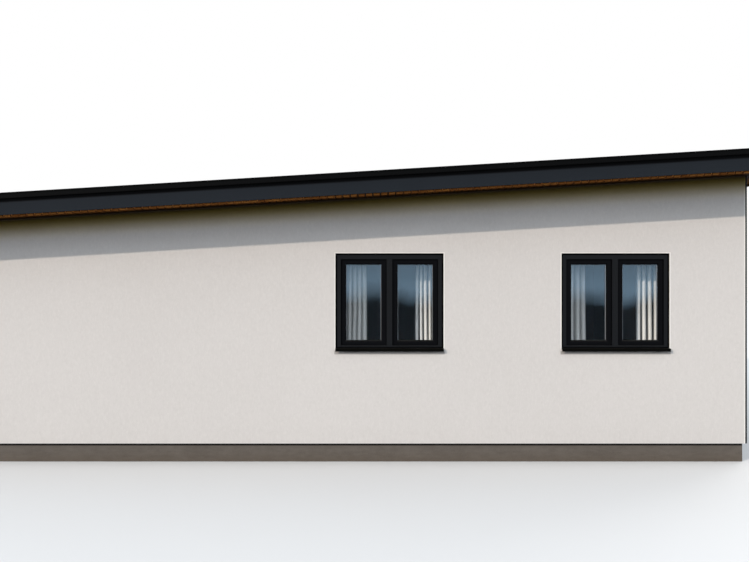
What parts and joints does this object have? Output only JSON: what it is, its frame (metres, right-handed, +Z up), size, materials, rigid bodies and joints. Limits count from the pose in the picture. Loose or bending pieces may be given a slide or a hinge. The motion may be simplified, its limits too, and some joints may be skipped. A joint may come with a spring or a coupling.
{
  "type": "bungalow",
  "caption": "Single-storey house with a mono-pitch metal roof, boarded eaves, white rendered walls on a recessed plinth, and dark casement windows with white curtains.",
  "frame": {"origin": "on the ground, in the middle of the outline of the walls", "axes": "+X along the house towards the high end of the roof, -Y out of the front wall, +Z up"},
  "size_m": [11.7928, 10.48, 3.7705],
  "materials": {
    "concrete": "matte",
    "plinth": "rough",
    "floor": "satin",
    "wall_render": "fine render, matte",
    "cladding": "painted boards, matte",
    "roof_core": "raw",
    "lining": "painted plasterboard, matte",
    "sheeting": "matte",
    "soffit_boards": "oiled boards, satin",
    "fascia": "matte",
    "cap": "satin",
    "rainwater": "satin",
    "window_frame": "satin",
    "glazing": "clear",
    "sill": "powder coated, satin",
    "window_board": "satin",
    "curtain_rail": "satin",
    "curtain": "soft woven cloth",
    "threshold": "honed",
    "door": "satin",
    "door_handle": "brushed"
  },
  "bodies": {
    "root": {"foundation_slab": "concrete", "plinth_render": "plinth", "floor_finish": "floor", "front_wall": "wall_render", "back_wall": "wall_render", "low_end_wall": "wall_render", "high_end_wall": "wall_render", "high_end_cladding": "cladding", "roof_panel": "roof_core", "ceiling_lining": "lining", "roof_sheeting": "sheeting", "front_soffit": "soffit_boards", "back_soffit": "soffit_boards", "low_end_soffit": "soffit_boards", "high_end_soffit": "soffit_boards", "front_fascia": "fascia", "back_fascia": "fascia", "low_end_fascia": "fascia", "high_end_fascia": "fascia", "front_verge_cap": "cap", "back_verge_cap": "cap", "high_end_cap": "cap", "eave_drip": "cap", "gutter": "rainwater", "downpipe": "rainwater", "rainwater_brackets": "rainwater", "window_boards": "window_board", "curtain_rails": "curtain_rail", "curtains": "curtain", "entrance_threshold": "threshold", "entrance_door_frame": "door", "entrance_door_leaf": "door", "entrance_door_handle": "door_handle", "front_window_frames": "window_frame", "front_window_sashes": "window_frame", "front_window_glass": "glazing", "front_window_sills": "sill", "back_window_frames": "window_frame", "back_window_sashes": "window_frame", "back_window_glass": "glazing", "back_window_sills": "sill", "end_window_frames": "window_frame", "end_window_sashes": "window_frame", "end_window_glass": "glazing", "end_window_sills": "sill"}
  },
  "joints": []
}
